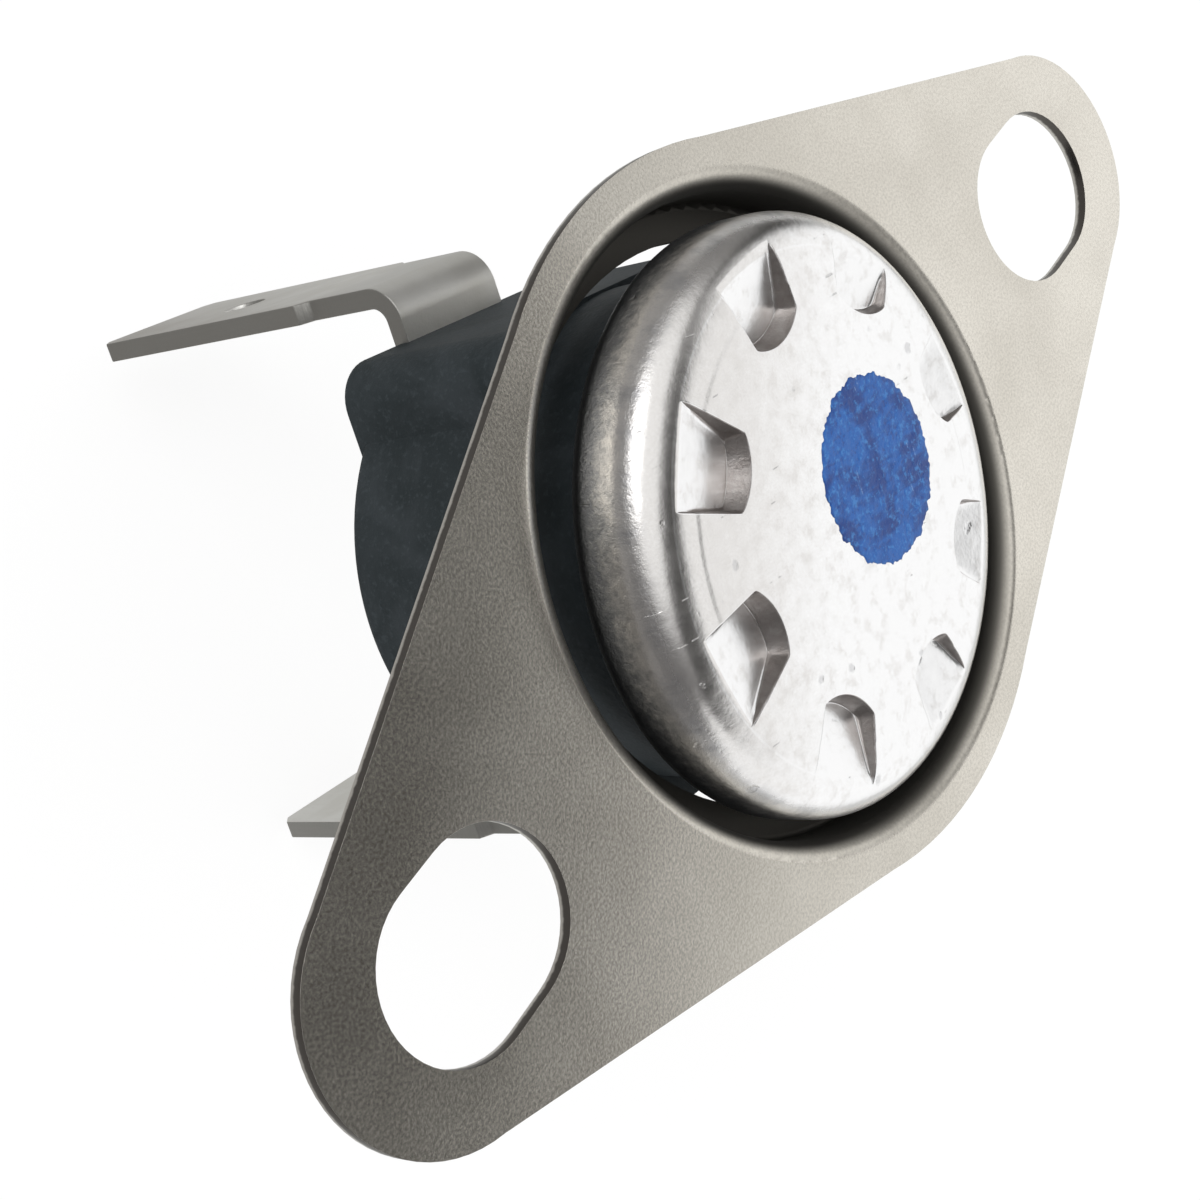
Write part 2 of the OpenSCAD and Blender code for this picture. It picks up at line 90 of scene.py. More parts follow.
class Look:  # a node tree, and the one way that nodes get into it
    def __init__(self, tree):
        self.tree = tree

    def node(self, kind, settings=None, values=None, output=0):
        made = self.tree.nodes.new(kind)
        for name, value in (settings or {}).items():
            setattr(made, name, value)
        for key, value in (values or {}).items():
            self.feed(made.inputs[key], value)
        return Wire(self, made.outputs[output]) if len(made.outputs) else None

    def feed(self, socket, value):
        if isinstance(value, Wire):
            self.tree.links.new(value.socket, socket)
        elif isinstance(value, tuple) and socket.type == "RGBA":
            socket.default_value = (*value[:3], 1)
        else:
            socket.default_value = value

    # the numbers are the sockets of a Mix node that mixes colours
    def blend(self, share, first, second):
        return self.node("ShaderNodeMix", {"data_type": "RGBA"}, {0: share, 6: first, 7: second}, 2)

    # goes from 0 to 1 as value goes from low to high
    def step(self, value, low, high):
        return self.node("ShaderNodeMapRange", {"interpolation_type": "SMOOTHSTEP"},
                         {"Value": value, "From Min": low, "From Max": high})

    def noise(self, place, scale, detail=3, roughness=0.55, distortion=0):
        return self.node("ShaderNodeTexNoise", None, {"Vector": place, "Scale": scale, "Detail": detail,
                         "Roughness": roughness, "Distortion": distortion})

    def cells(self, place, scale):
        return self.node("ShaderNodeTexVoronoi", None, {"Vector": place, "Scale": scale})

    def stretch(self, place, amounts):
        return self.node("ShaderNodeVectorMath", {"operation": "MULTIPLY"}, {0: place, 1: amounts})

    # a place in millimetres in the frame that the finish follows
    def place(self, home):
        back = home.inverted()
        coords = self.node("ShaderNodeTexCoord", output="Object")
        return self.node("ShaderNodeMapping", None, {"Vector": coords, "Location": back.translation / mm,
                         "Rotation": back.to_euler(), "Scale": (1 / mm,) * 3})

    # the surface's direction in that same frame
    def facing(self, home):
        coords = self.node("ShaderNodeTexCoord", output="Normal")
        return self.split(self.node("ShaderNodeMapping", {"vector_type": "NORMAL"},
                                    {"Vector": coords, "Rotation": home.inverted().to_euler()}))

    def split(self, vector):
        parts = self.node("ShaderNodeSeparateXYZ", None, {0: vector})
        return [Wire(self, parts.socket.node.outputs[i]) for i in range(3)]

    def join(self, x, y, z):
        return self.node("ShaderNodeCombineXYZ", None, {0: x, 1: y, 2: z})

    # one socket for each kind of ray that is asked about
    def rays(self, *names):
        path = self.node("ShaderNodeLightPath").socket.node
        return [Wire(self, path.outputs[name]) for name in names]


class Finish(Look):  # a material with one Principled shader
    def __init__(self, name, values):
        self.material = bpy.data.materials.new(name)
        self.material.use_nodes = True
        super().__init__(self.material.node_tree)
        self.shader = self.tree.nodes["Principled BSDF"]
        self.normal = None
        for key, value in values.items():
            self.feed(self.shader.inputs[key], value)

    def bump(self, height, depth):
        values = {"Height": height, "Distance": depth * mm, "Strength": 1}
        if self.normal:
            values["Normal"] = self.normal
        self.normal = self.node("ShaderNodeBump", None, values)

    def done(self, colour, roughness):
        self.feed(self.shader.inputs["Base Color"], colour)
        self.feed(self.shader.inputs["Roughness"], roughness)
        self.feed(self.shader.inputs["Normal"], self.normal)
        return self.material


# Finishes: a zone holds the radii, heights or slopes over which one tone turns into the next

def satinNickel():
    tone = {"dark": (0.69, 0.655, 0.584), "light": (0.82, 0.783, 0.706), "torn": (0.15, 0.14, 0.13),
            "burnished": (0.86, 0.84, 0.79), "collarShade": (0.10, 0.095, 0.085)}
    zone = {"cut": (0.6, 0.25), "burnished": (-0.30, -0.42), "mouth": (12.25, 11.85),
            "collar": (12.0, 11.5), "down": (0.02, -0.10)}
    look = Finish("satin_nickel", {"Metallic": 1.0})
    at = look.place(bracketFrame)
    x, y, z = look.split(at)
    reach = (x * x + y * y) ** 0.5
    side = look.step(abs(look.facing(bracketFrame)[2]), *zone["cut"])
    cloud = look.noise(at, 0.14, 4)
    grain = look.noise(at, 9, 3, 0.65)
    speck = look.cells(at, 5)
    shear = look.noise(look.stretch(at, (4, 4, 0.7)), 1, 3)
    colour = look.blend(look.step(cloud, 0.3, 0.7), tone["dark"], tone["light"])
    colour = look.blend(look.step(grain, 0.62, 0.36) * 0.2, colour, tone["torn"])
    colour = look.blend(look.step(speck, 0.16, 0.05) * 0.2, colour, tone["torn"])
    # a cut edge is torn near the front and burnished below
    burnish = look.step(z + 0.14 * (shear - 0.5), *zone["burnished"])
    colour = look.blend(side, colour, look.blend(burnish, tone["torn"], tone["burnished"]))
    # painted shade darkens the collar's drawn inside, which is also rougher
    mouth = look.step(reach, *zone["mouth"])
    collarShade = look.step(reach, *zone["collar"]) * look.step(z, *zone["down"])
    colour = look.blend(collarShade, colour, tone["collarShade"])
    look.bump(grain, 0.003)
    look.bump(shear * side, 0.002)
    rough = 0.15 + 0.10 * grain + 0.05 * cloud + 0.10 * side
    return look.done(colour, rough + 0.14 * mouth + 0.2 * collarShade)


def drawnAluminium():
    tone = {"clean": (0.92, 0.92, 0.92), "dull": (0.72, 0.70, 0.68), "smudge": (0.50, 0.50, 0.51),
            "low": (0.26, 0.27, 0.29), "pressed": (0.30, 0.27, 0.255)}
    zone = {"side": (0.85, 0.45), "low": (0.9, -0.5), "shadedSide": (2.0, 11.0), "pressed": (0.93, 0.84),
            "pressedIn": (9.3, 9.12), "floor": (0.986, 0.978), "floorIn": (9.15, 9.05)}
    look = Finish("drawn_aluminium", {"Metallic": 1.0})
    at = look.place(ownFrame)
    x, y, z = look.split(at)
    level = look.facing(ownFrame)[2]
    around = x.maths("ARCTAN2", y, x) * cap["radius"]
    reach = (x * x + y * y) ** 0.5
    side = look.step(abs(level), *zone["side"])
    cloud = look.noise(at, 0.35, 4)
    mottle = look.noise(at, 1.6, 4, 0.6)
    fine = look.noise(at, 11, 3, 0.65)
    streak = look.noise(look.join(around * 0.9, 0.0, z * 0.6), 1, 4, 0.65)
    flecks = look.noise(at, 3.2, 4, 0.7)
    nicks = look.step(look.cells(at, 0.55) + 0.35 * mottle, 0.30, 0.22)
    lines = look.noise(look.stretch(at, (0.5, 6.0, 1.0)), 1, 2)
    scratch = look.step(lines, 0.69, 0.74) * look.step(mottle, 0.50, 0.60)
    colour = look.blend(look.step(mottle, 0.50, 0.72) * 0.5, tone["clean"], tone["dull"])
    # painted shade darkens one side of the face, broken up by random mottle, and the pockets' floors are
    # kept out of it so they stay lighter
    wearAndShade = look.step(0.47 * y - 0.88 * x + 7 * mottle, *zone["shadedSide"])
    floors = look.step(level, *zone["floor"]) * look.step(reach, *zone["floorIn"])
    colour = look.blend((wearAndShade * 0.85 + (fine - 0.5) * 0.6) * (1 - floors), colour, tone["dull"])
    # the drawn side is streaked, and painted shade makes it darker and more flecked towards the rim
    colour = look.blend(side * look.step(streak, 0.40, 0.66) * 0.8, colour, tone["smudge"])
    colour = look.blend(side * look.step(z + 2.2 * (flecks - 0.5), *zone["low"]), colour, tone["low"])
    colour = look.blend((nicks * 0.5).most(scratch * 0.4), colour, tone["smudge"])
    # painted shade darkens the pockets' walls, broken by flecks, and they are rougher
    pressed = look.step(level + 0.1 * (fine - 0.5), *zone["pressed"]) * look.step(reach, *zone["pressedIn"])
    colour = look.blend(pressed * (0.65 + 0.45 * flecks), colour, tone["pressed"])
    look.bump(cloud, 0.03)
    look.bump(mottle, 0.008)
    look.bump(fine, 0.0015)
    look.bump(side * fine, 0.009)
    look.bump(side * flecks, 0.016)
    look.bump(1 - nicks.most(scratch), 0.012)
    rough = 0.13 + 0.12 * mottle + side * (0.05 + 0.10 * streak) + 0.05 * fine
    return look.done(colour, rough + 0.08 * pressed + 0.03 * floors)


def bluePaint():
    tone = {"deep": (0.008, 0.05, 0.25), "main": (0.014, 0.125, 0.46), "thin": (0.06, 0.25, 0.62),
            "wearAndShade": (0.35, 0.50, 0.78)}
    look = Finish("blue_paint", {"Metallic": 0.0, "IOR": 1.5})
    at = look.place(ownFrame)
    patch = look.noise(at, 0.55, 4, 0.6, 0.6)
    grains = look.noise(at, 4.2, 4, 0.65)
    specks = look.cells(at, 3.2)
    strokes = look.noise(look.stretch(at, (0.5, 2.2, 1)), 1, 4, 0.6, 0.8)
    lines = look.noise(look.stretch(at, (4.0, 0.6, 1)), 1, 3, 0.6, 0.5)
    colour = look.blend(look.step(patch + 0.5 * (strokes - 0.5), 0.34, 0.58), tone["deep"], tone["main"])
    colour = look.blend(look.step(grains, 0.52, 0.68) * 0.8, colour, tone["thin"])
    colour = look.blend(look.step(grains, 0.44, 0.34) * 0.7, colour, tone["deep"])
    rubbed = look.step(lines, 0.66, 0.72) * look.step(grains, 0.46, 0.56)
    colour = look.blend(rubbed * 0.7, colour, tone["wearAndShade"])
    look.bump(strokes, 0.06)
    look.bump(grains, 0.05)
    look.bump(look.step(specks, 0.0, 0.35), 0.012)
    return look.done(colour, 0.36 + 0.25 * grains)


def tinted(colour, strength):
    return tuple(strength * part for part in colour)


def phenolic(name, dark, light):
    look = Finish(name, {"Metallic": 0.0, "IOR": 1.5, "Specular IOR Level": 0.12})
    at = look.place(ownFrame)
    flow = look.noise(at, 0.3, 4, 0.6, 1.2)
    grain = look.noise(at, 4.5, 4, 0.65)
    specks = look.cells(at, 2.6)
    colour = look.blend(look.step(flow, 0.3, 0.7), dark, light)
    colour = look.blend(look.step(specks, 0.16, 0.06) * 0.2, colour, tinted(light, 2))
    colour = look.blend(look.step(grain, 0.5, 0.72) * 0.4, colour, tinted(light, 1.6))
    look.bump(grain, 0.03)
    look.bump(flow, 0.05)
    return look.done(colour, 0.44 + 0.2 * grain + 0.08 * flow)


# rolled strip or wire with marks drawn along one direction of its frame
def stripMetal(name, dark, light, along, rough, depth=0.01, bend=None):
    look = Finish(name, {"Metallic": 1.0})
    at = look.place(ownFrame)
    lengths = [0.35 if axis == along else 7 for axis in "xyz"]
    lines = look.noise(look.stretch(at, tuple(lengths)), 1, 4, 0.6)
    cloud = look.noise(at, 0.4, 4)
    grain = look.noise(at, 9, 3)
    spots = look.cells(at, 0.9)
    colour = look.blend(look.step(cloud, 0.32, 0.66), dark, light)
    colour = look.blend(look.step(lines, 0.55, 0.75) * 0.4, colour, dark)
    colour = look.blend(look.step(spots + 0.3 * grain, 0.28, 0.2) * 0.4, colour, dark)
    look.bump(lines, depth)
    look.bump(grain, 0.004)
    rough = rough + 0.12 * cloud + 0.10 * lines
    if bend:  # painted shade darkens the bend and the cut edges, and the cut edges are rougher, with marks across the sheet
        cut = look.step(abs(look.facing(ownFrame)[0]), 0.5, 0.8)
        shear = look.noise(look.stretch(at, (7, 0.7, 7)), 1, 3)
        bendShade = look.step(look.split(at)[2], *bend)
        colour = look.blend(bendShade * 0.3, colour, tinted(dark, 0.55))
        colour = look.blend(cut * 0.85, colour, tinted(dark, 0.5))
        look.bump(shear * cut, 0.03)
        rough = rough + 0.2 * cut
    return look.done(colour, rough)


def ceramic():
    look = Finish("pin_ceramic", {"Metallic": 0.0, "IOR": 1.6})
    at = look.place(ownFrame)
    cloud = look.noise(at, 1.2, 4)
    grain = look.noise(at, 12, 3)
    look.bump(grain, 0.004)
    return look.done(look.blend(cloud, (0.80, 0.79, 0.74), (0.90, 0.89, 0.85)), 0.3 + 0.15 * grain)


# Meshes

def readMesh(node):
    grown = bmesh.new()
    grown.from_mesh(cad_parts[node].data)
    bmesh.ops.remove_doubles(grown, verts=grown.verts, dist=0.0005 * mm)
    bmesh.ops.dissolve_limit(grown, angle_limit=math.radians(0.15), verts=grown.verts, edges=grown.edges)
    return grown


def makePiece(grown, name, finish, body, node, sharp=40, weighted=True):
    mesh = bpy.data.meshes.new(name)
    grown.normal_update()
    grown.to_mesh(mesh)
    grown.free()
    for face in mesh.polygons:
        face.use_smooth = True
    mesh.set_sharp_from_angle(angle=math.radians(sharp))
    mesh.materials.append(finish)
    piece = bpy.data.objects.new(name, mesh)
    bpy.context.scene.collection.objects.link(piece)
    if weighted:
        even = piece.modifiers.new("even normals", "WEIGHTED_NORMAL")
        even.keep_sharp = True
    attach(piece, body)
    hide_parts(node)
    print("made", name, len(mesh.polygons), "faces")


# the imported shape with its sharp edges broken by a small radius
def brokenEdges(node, radius, keenAngle=40, segments=2):
    grown = readMesh(node)
    keen = [edge for edge in grown.edges
            if len(edge.link_faces) == 2 and edge.calc_face_angle(0) > math.radians(keenAngle)]
    bmesh.ops.bevel(grown, geom=keen, offset=radius * mm, offset_type="OFFSET", segments=segments,
                    profile=0.5, affect="EDGES", clamp_overlap=True, material=-1)
    return grown


# a flat fan of rings, each vertex then moved to its place
def drawOut(grown, rings, turns, placeOf):
    line = [grown.verts.new((k, 0, 0)) for k in range(rings)]
    for pair in zip(line, line[1:]):
        grown.edges.new(pair)
    bmesh.ops.spin(grown, geom=grown.verts[:] + grown.edges[:], axis=(0, 0, 1), cent=(0, 0, 0),
                   angle=2 * math.pi, steps=turns, use_merge=True)
    bmesh.ops.remove_doubles(grown, verts=grown.verts, dist=0.01)
    for vert in grown.verts:
        ring = round(math.hypot(vert.co.x, vert.co.y))
        spoke = round(math.atan2(vert.co.y, vert.co.x) / (2 * math.pi) * turns) % turns
        vert.co = Vector(placeOf(ring, spoke)) * mm
    bmesh.ops.remove_doubles(grown, verts=grown.verts, dist=0.0005 * mm)
    bmesh.ops.recalc_face_normals(grown, faces=grown.faces)


def smooth(value, low, high):
    share = min(1.0, max(0.0, (value - low) / (high - low)))
    return share * share * (3 - 2 * share)


# the larger of two numbers, with the corner between them rounded
def roundedMost(first, second, blend):
    return 0.5 * (first + second + math.hypot(first - second, blend))


# Mounting bracket
bracket = {"edge": 0.07}
makePiece(brokenEdges("mounting_bracket", bracket["edge"]), "bracket_sheet", satinNickel(),
          "bracket", "mounting_bracket")

# Cap: outer skin, curled rim and inner skin, with eight pockets pressed into the edge of the face
cap = {"radius": 10.45, "face": 2.0, "height": 3.5, "sheet": 0.5, "curl": 0.9, "throat": 9.15,
       "edge": 1.3, "edgeTurn": 70, "crown": 3.5,
       "rimAt": 8.0, "rimStep": 0.022, "rimIn": 0.07, "rimOut": 0.02}
# the pockets' ring lies off the cap's axis, and each pocket widens outwards from a bulged end wall
pocketForm = {"turn": 15, "offAxis": 0.8, "bulge": 2.4, "wideIn": 1.3, "widening": 0.14, "wideAt": 6.2,
              "foot": 0.24, "sideSlope": 4.6, "wallDepth": 0.25, "corner": 0.3, "topBlend": 0.08,
              "floorBlend": 0.08, "underFall": 0.7}
# each pocket's turn from its even place in degrees, where its end starts, its depth there, its outer radius
pockets = [(1.5, 6.25, 0.42, 9.1), (1.0, 6.7, 0.6, 9.3), (-1.0, 6.5, 0.86, 9.4), (0.6, 5.95, 0.88, 8.97),
           (0.8, 6.1, 0.88, 8.95), (-0.8, 6.6, 0.8, 9.35), (0, 6.35, 0.6, 9.1), (-1.0, 6.2, 0.42, 9.0)]
# how finely the cap is drawn: spokes over a pocket's floor, side wall and land, and rings over the face
capMesh = {"floor": 8, "wall": (0, 0.12, 0.3, 0.5, 0.7, 0.88),
           "land": (0, 0.015, 0.04, 0.08, 0.15, 0.3, 0.5, 0.75), "ease": 2.5,
           "centre": 8, "end": (-0.3, -0.16, -0.08, -0.04, -0.015), "endGap": 0.35,
           "endWall": (0.02, 0.08, 0.2, 0.4, 0.6, 0.8, 0.92, 0.98), "foot": (0.015, 0.03, 0.05, 0.08, 0.12),
           "span": 10, "rim": (0.15, 0.28), "least": 0.01,
           "under": (0.7, 0.4, 0), "underEnd": (0.4, 0.2, 0, -0.25, -0.5), "underSpan": 5, "underGap": 0.5}


# across a pocket, counted from its middle line: its floor 0 to 1, its side wall 1 to 2, then the land 2 to 3
def capSpokes():
    right = [i / capMesh["floor"] for i in range(capMesh["floor"])]
    right += [1 + share for share in capMesh["wall"]]
    right += [2 + share for share in capMesh["land"]]
    return [-3] + [-place for place in reversed(right[1:])] + right


def crownStart():  # the radius at which the crown's flat middle ends
    turn = math.radians(cap["edgeTurn"])
    return cap["radius"] - cap["edge"] * (1 - math.cos(turn)) - cap["crown"] * math.cos(turn)


# each ring's kind, amount, height and depth under the skin: the amount is a share of the way to the pockets,
# a step from their ends, a share of their end walls, a step past those, a share of the rest, or a radius
def capRings():
    face, sheet, edge, crown = cap["face"], cap["sheet"], cap["edge"], cap["crown"]
    turn = math.radians(cap["edgeTurn"])
    low = face - cap["height"]
    filletAt = (cap["radius"] - edge, face - crown * (1 - math.sin(turn)) - edge * math.sin(turn))
    curlAt = (cap["radius"] - cap["curl"], low + cap["curl"])
    lipAt = (cap["throat"] + sheet / 2, low + sheet / 2)
    rims = [cap["rimAt"] + step for step in (-cap["rimIn"], cap["rimOut"], *capMesh["rim"])]
    rings = [("share", i / capMesh["centre"], face, 0) for i in range(capMesh["centre"])]
    rings += [("end", step, face, 0) for step in capMesh["end"]]
    rings += [("wall", share, face, 0) for share in capMesh["endWall"]]
    rings += [("foot", step, face, 0) for step in capMesh["foot"]]
    rings += [("span", i / capMesh["span"], face, 0) for i in range(1, capMesh["span"])]
    rings += [("at", radius, face, 0) for radius in rims]

    def arc(centre, radius, start, end, count, skin, first=0):
        for i in range(first, count + 1):
            angle = math.radians(start + (end - start) * i / count)
            out, up = centre[0] + radius * math.cos(angle), centre[1] + radius * math.sin(angle)
            rings.append(("at", out, up, skin))

    arc((crownStart(), face - crown), crown, 90, cap["edgeTurn"], 20, 0)
    arc(filletAt, edge, cap["edgeTurn"], 0, 18, 0, 1)
    rings += [("at", cap["radius"], filletAt[1] + (curlAt[1] - filletAt[1]) * i / 4, 0) for i in range(1, 4)]
    arc(curlAt, cap["curl"], 0, -90, 10, 0)
    arc(lipAt, sheet / 2, -90, -270, 8, 0)
    arc(curlAt, cap["curl"] - sheet, -90, 0, 6, 0, 1)
    arc(filletAt, edge - sheet, 0, 90, 8, sheet)
    count = capMesh["underSpan"]
    rings += [("span", 1 - i / count, face - sheet, sheet) for i in range(1, count)]
    rings += [("end", step, face - sheet, sheet) for step in capMesh["underEnd"]]
    rings += [("share", share, face - sheet, sheet) for share in capMesh["under"]]
    return rings


# the distance from the pockets' centre, along a heading from it, to a circle round the cap's axis
def outTo(radius, heading):
    offAxis = pocketForm["offAxis"]
    return math.sqrt(radius ** 2 - (offAxis * math.sin(heading)) ** 2) - offAxis * math.cos(heading)


def halfWidth(far):
    return pocketForm["wideIn"] + pocketForm["widening"] * (far - pocketForm["wideAt"])


class Pocket:  # one pocket and the land on both sides of it, measured from the pockets' centre
    def __init__(self, number):
        nudge, self.inner, self.deep, outside = pockets[number]
        self.nudge = math.radians(nudge)
        self.heading = math.radians(pocketForm["turn"] + number * 360 / len(pockets)) + self.nudge
        self.middle = self.inner + pocketForm["bulge"]
        self.outer = outTo(outside, self.heading)
        self.shallow = cap["crown"] - math.sqrt(cap["crown"] ** 2 - (outside - crownStart()) ** 2)

    def depthAt(self, far):
        share = (far - self.inner) / (self.outer - self.inner)
        return self.deep + (self.shallow - self.deep) * share

    # where the bulged end wall starts, at an angle from the middle line
    def endAt(self, angle):
        aside = self.middle * math.sin(angle)
        return self.middle * math.cos(angle) - math.sqrt(pocketForm["bulge"] ** 2 - aside ** 2)

    # the angle from the middle line at which a spoke crosses a ring
    def angleAt(self, far, spoke):
        far = max(far, self.inner)
        side = math.atan(halfWidth(far) / far)
        wall = max(pocketForm["wallDepth"], self.depthAt(far)) / pocketForm["sideSlope"]
        foot = math.atan((halfWidth(far) - wall) / far)
        place = abs(spoke)
        land = math.radians(180 / len(pockets)) - math.copysign(1, spoke) * self.nudge
        angle = foot * place if place < 1 else foot + (side - foot) * (place - 1)
        if place > 2:
            angle = side + (land - side) * (place - 2)
        return math.copysign(angle, spoke)

    # how far out a ring crosses a spoke, and at what angle
    def crossing(self, kind, amount, skin, spoke):
        angle = self.angleAt(self.inner, spoke)
        endAngle = min(abs(angle), math.atan(halfWidth(self.inner) / self.inner))
        end = self.endAt(endAngle)
        foot = end + pocketForm["foot"] / math.cos(endAngle)
        # over the land the rings ease to one common place
        ease = (pocketForm["wideAt"] - self.inner) * min(1, capMesh["ease"] * max(0, abs(spoke) - 2))
        end, foot = end + ease, foot + ease
        lastFoot = foot + capMesh["foot"][-1]
        for _ in range(2):
            heading = self.heading + angle
            if kind == "share":
                reach = amount * (end - capMesh["endGap"])
            elif kind == "end":
                reach = end + amount
            elif kind == "wall":
                reach = end + (foot - end) * amount
            elif kind == "foot":
                reach = foot + amount
            elif kind == "span" and not skin:
                rim = outTo(cap["rimAt"] - cap["rimIn"], heading)
                reach = lastFoot + max(capMesh["least"], rim - lastFoot) * amount
            elif kind == "span":
                past = end + capMesh["underGap"]
                reach = past + (outTo(crownStart(), heading) - past) * amount
            else:
                reach = outTo(amount, heading)
            if kind == "at" and not skin:
                reach = max(reach, lastFoot + capMesh["least"])
            angle = self.angleAt(reach, spoke)
        return reach, angle

    # how far the sheet is pressed down at a place, with the pocket's corners rounded
    def fallAt(self, far, across, skin):
        toSide = (halfWidth(far) - across) * pocketForm["sideSlope"]
        start = self.middle - math.sqrt(pocketForm["bulge"] ** 2 - min(across, halfWidth(self.inner)) ** 2)
        toEnd = (far - start) / pocketForm["foot"] * self.deep
        fall = 0.5 * (toSide + toEnd - math.hypot(toSide - toEnd, pocketForm["corner"]))
        if skin:  # the inner skin's pockets are wider by the sheet
            fall += pocketForm["underFall"]
        return roundedMost(fall, 0, pocketForm["topBlend"]) - 0.25 * pocketForm["topBlend"]


def makeCap():
    spokes, rings = capSpokes(), capRings()
    row = [Pocket(number) for number in range(len(pockets))]
    stepFrom, stepTo = cap["rimAt"] - cap["rimIn"], cap["rimAt"] + cap["rimOut"]
    cutAbove = 0.5 * cap["face"] - cap["sheet"]

    def placeOf(ring, spoke):
        kind, amount, z, skin = rings[ring]
        number, line = divmod(spoke, len(spokes))
        pocket = row[number]
        reach, angle = pocket.crossing(kind, amount, skin, spokes[line])
        x = pocketForm["offAxis"] + reach * math.cos(pocket.heading + angle)
        y = reach * math.sin(pocket.heading + angle)
        if not skin and z > 0:
            z -= cap["rimStep"] * smooth(math.hypot(x, y), stepFrom, stepTo)
        if kind != "at" or z > cutAbove:
            far, across = reach * math.cos(angle), abs(reach * math.sin(angle))
            wallTo = z - max(0, pocket.fallAt(far, across, skin))
            floorTo = cap["face"] - skin - pocket.depthAt(far)
            z = min(z, roundedMost(wallTo, floorTo, pocketForm["floorBlend"]))
        return x, y, z

    grown = bmesh.new()
    drawOut(grown, len(rings), len(spokes) * len(pockets), placeOf)
    bmesh.ops.transform(grown, matrix=ownFrame, verts=grown.verts)
    makePiece(grown, "cap_shell", drawnAluminium(), "switch_body", "cap",
              sharp=180, weighted=False)


makeCap()

# Paint mark: a thin dab with a ragged edge and a lumpy top, from waves counted round it and over it
dab = {"radius": 3.4, "x": 2.5, "y": 0.65, "thick": 0.05, "rim": 0.015, "rings": 34, "turns": 260,
       "ragged": 0.16, "drawnIn": 0.08, "edgeWaves": (8, 22), "lumps": (2.2, 6)}


def makeDab():
    coarse, fine = dab["edgeWaves"]
    broad, small = dab["lumps"]
    elsewhere = Vector((5, 0, 0))  # keeps the fine waves apart from the coarse ones

    def placeOf(ring, spoke):
        angle = 2 * math.pi * spoke / dab["turns"]
        heading = Vector((math.cos(angle), math.sin(angle), 0))
        share = min(1.0, ring / dab["rings"])
        if ring > dab["rings"] + 1:
            share = 0
        wave = noise.noise(heading * coarse) + 0.7 * noise.noise(heading * fine + elsewhere)
        place = heading * (dab["radius"] - dab["drawnIn"] + dab["ragged"] * wave * share ** 3) * share
        lump = 0.5 + 0.5 * noise.noise(place * broad) + 0.3 * noise.noise(place * small)
        under = ring > dab["rings"]
        place.z = 0 if under else dab["rim"] + dab["thick"] * lump * (1 - smooth(share, 0.9, 1.0))
        return place

    grown = bmesh.new()
    drawOut(grown, dab["rings"] + 3, dab["turns"], placeOf)
    home = ownFrame @ Matrix.Translation(Vector((dab["x"], dab["y"], cap["face"])) * mm)
    bmesh.ops.transform(grown, matrix=home, verts=grown.verts)
    makePiece(grown, "paint_dab", bluePaint(), "switch_body", "paint_mark",
              sharp=180, weighted=False)


makeDab()

# Housing, blades and rivets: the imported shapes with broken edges
housing = {"edge": 0.12}
blade = {"edge": 0.06, "bend": (-18.5, -15.5)}
rivet = {"edge": 0.05}
moulding = phenolic("housing_phenolic", (0.024, 0.031, 0.034), (0.038, 0.046, 0.051))
tinned = stripMetal("tinned_brass", (0.76, 0.75, 0.71), (0.85, 0.845, 0.815), "z", 0.32,
                    depth=0.005, bend=blade["bend"])
rolled = stripMetal("rivet_brass", (0.62, 0.48, 0.24), (0.80, 0.66, 0.38), "x", 0.3)
makePiece(brokenEdges("housing", housing["edge"]), "housing_body", moulding,
          "switch_body", "housing")
for which in ("arm", "fixed"):
    makePiece(brokenEdges(which + "_terminal", blade["edge"]), which + "_blade_strip", tinned,
              "switch_body", which + "_terminal")
    makePiece(brokenEdges(which + "_rivet", rivet["edge"]), which + "_rivet_tube", rolled,
              "switch_body", which + "_rivet")

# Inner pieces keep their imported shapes
inner = {
    "bimetal_disc": stripMetal("bimetal_strip", (0.50, 0.47, 0.43), (0.66, 0.63, 0.58), "x", 0.3),
    "pin_guide": phenolic("guide_phenolic", (0.16, 0.075, 0.035), (0.24, 0.12, 0.06)),
    "transfer_pin": ceramic(),
    "arm_plate": stripMetal("brass_plate", (0.62, 0.47, 0.20), (0.80, 0.64, 0.32), "y", 0.28),
    "contact_arm": stripMetal("spring_bronze", (0.52, 0.33, 0.20), (0.72, 0.50, 0.33), "y", 0.26),
    "moving_contact": stripMetal("contact_silver", (0.78, 0.78, 0.75), (0.93, 0.93, 0.91), "z", 0.22),
}
inner["fixed_contact"] = inner["moving_contact"]
inner["fixed_plate"] = inner["arm_plate"]
for name, finish in inner.items():
    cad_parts[name].data.materials.clear()
    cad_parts[name].data.materials.append(finish)
print("inner pieces finished:", len(inner))

# Floor, light and camera
studio = {"floor": -31.6, "floorWidth": 4000, "glow": 1.04, "paper": (1.03, 1.03, 1.03),
          "matte": (0.9, 0.9, 0.9), "litFrom": (-13, -3), "litPaper": (0.56, 0.56, 0.55),
          "dimPaper": (0.34, 0.33, 0.32)}
room = {"left": (0.15, 0.145, 0.145), "right": (0.25, 0.245, 0.24), "gap": (0.03, 0.029, 0.027),
        "light": (1.06, 1.06, 1.06), "fill": (0.8, 0.8, 0.8), "seen": (1, 1, 1)}
lamp = {"heading": (-0.30, 0.70, 0.65), "distance": 0.5, "width": 0.30, "power": 0.6}
# the camera as it was fitted to the photograph
view = {"place": (-42.576053, 27.219064, 46.432187), "right": (0.5246761, -0.5465976, 0.6526455),
        "down": (-0.6571904, -0.7473778, -0.0976070), "ahead": (0.5411245, -0.3777003, -0.7513500),
        "lens": 58.985, "sensor": 36, "clip": (0.002, 20)}


# how far a place or a direction lies past the object, seen from the camera
def pastObject(x, y):
    return 0.62 * x - 0.78 * y


